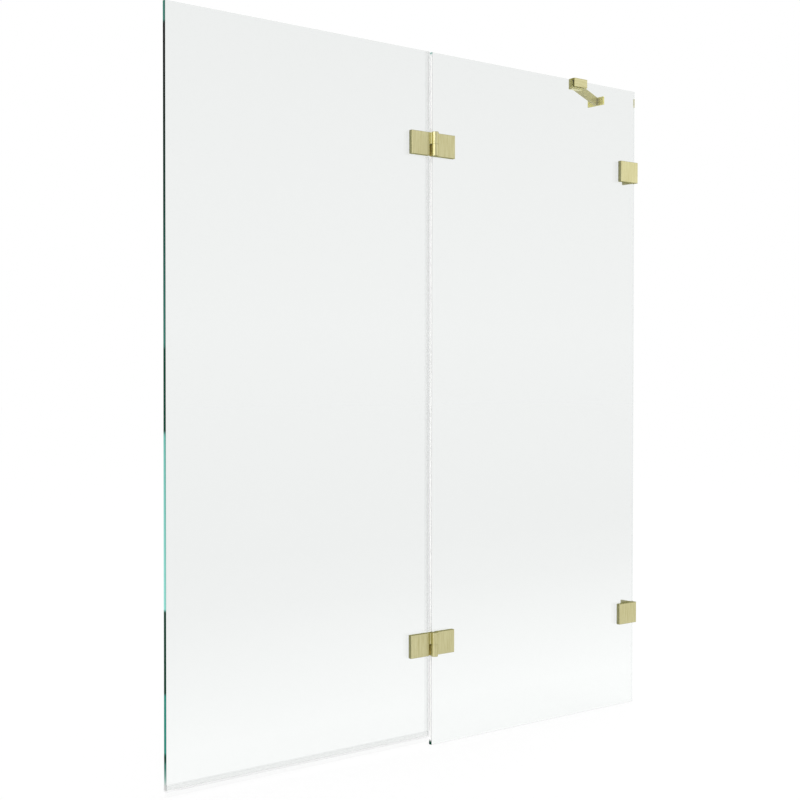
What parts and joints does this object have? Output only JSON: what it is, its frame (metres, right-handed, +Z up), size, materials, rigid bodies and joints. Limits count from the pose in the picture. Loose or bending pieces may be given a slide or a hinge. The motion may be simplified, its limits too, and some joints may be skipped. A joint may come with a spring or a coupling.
{
  "type": "shower door",
  "caption": "Frameless glass shower door: a fixed pane clamped to the wall and braced by an arm, with a glass door hinged on its free edge and clip-on seals.",
  "frame": {"origin": "middle of the fixed pane's bottom edge, halfway through the glass", "axes": "+X from the door towards the wall, -Y the outside, from which the door is pulled open, +Y the shower side, +Z up"},
  "size_m": [1.295, 0.1806, 1.5056],
  "materials": {
    "glass": "clear toughened glass with polished green edges",
    "brass": "pale brushed brass",
    "seal": "translucent soft plastic",
    "gasket": "dark sheet rubber",
    "nylon": "natural nylon",
    "steel": "stainless steel"
  },
  "bodies": {
    "fixed_side": {"fixed_glass": "glass", "upper_hinge_fixed_leaf": "brass", "upper_hinge_fixed_back_plate": "brass", "upper_hinge_fixed_front_gasket": "gasket", "upper_hinge_fixed_rear_gasket": "gasket", "upper_hinge_fixed_sleeves": "nylon", "upper_hinge_fixed_screws": "steel", "upper_hinge_pin": "steel", "upper_hinge_washer": "brass", "upper_hinge_bottom_cap": "brass", "upper_wall_clamp_front_plate": "brass", "upper_wall_clamp_bracket": "brass", "upper_wall_clamp_front_gasket": "gasket", "upper_wall_clamp_rear_gasket": "gasket", "upper_wall_clamp_sleeves": "nylon", "upper_wall_clamp_screws": "steel", "lower_hinge_fixed_leaf": "brass", "lower_hinge_fixed_back_plate": "brass", "lower_hinge_fixed_front_gasket": "gasket", "lower_hinge_fixed_rear_gasket": "gasket", "lower_hinge_fixed_sleeves": "nylon", "lower_hinge_fixed_screws": "steel", "lower_hinge_pin": "steel", "lower_hinge_washer": "brass", "lower_hinge_bottom_cap": "brass", "lower_wall_clamp_front_plate": "brass", "lower_wall_clamp_bracket": "brass", "lower_wall_clamp_front_gasket": "gasket", "lower_wall_clamp_rear_gasket": "gasket", "lower_wall_clamp_sleeves": "nylon", "lower_wall_clamp_screws": "steel", "stabiliser_clamp": "brass", "stabiliser_liner": "gasket", "stabiliser_grub_screws": "steel", "stabiliser_arm": "brass", "stabiliser_wall_flange": "brass"},
    "door": {"door_glass": "glass", "bottom_seal": "seal", "hinge_seal_upper": "seal", "hinge_seal_middle": "seal", "hinge_seal_lower": "seal", "upper_hinge_door_leaf": "brass", "upper_hinge_door_back_plate": "brass", "upper_hinge_door_front_gasket": "gasket", "upper_hinge_door_rear_gasket": "gasket", "upper_hinge_door_sleeves": "nylon", "upper_hinge_door_screws": "steel", "upper_hinge_bush": "nylon", "upper_hinge_top_cap": "brass", "lower_hinge_door_leaf": "brass", "lower_hinge_door_back_plate": "brass", "lower_hinge_door_front_gasket": "gasket", "lower_hinge_door_rear_gasket": "gasket", "lower_hinge_door_sleeves": "nylon", "lower_hinge_door_screws": "steel", "lower_hinge_bush": "nylon", "lower_hinge_top_cap": "brass"}
  },
  "joints": [
    {"name": "door_swing", "type": "hinge", "parent": "fixed_side", "child": "door", "pos_m": [-0.327, -0.0184, 0], "axis": [0, 0, 1], "range_deg": [0, 180]}
  ]
}
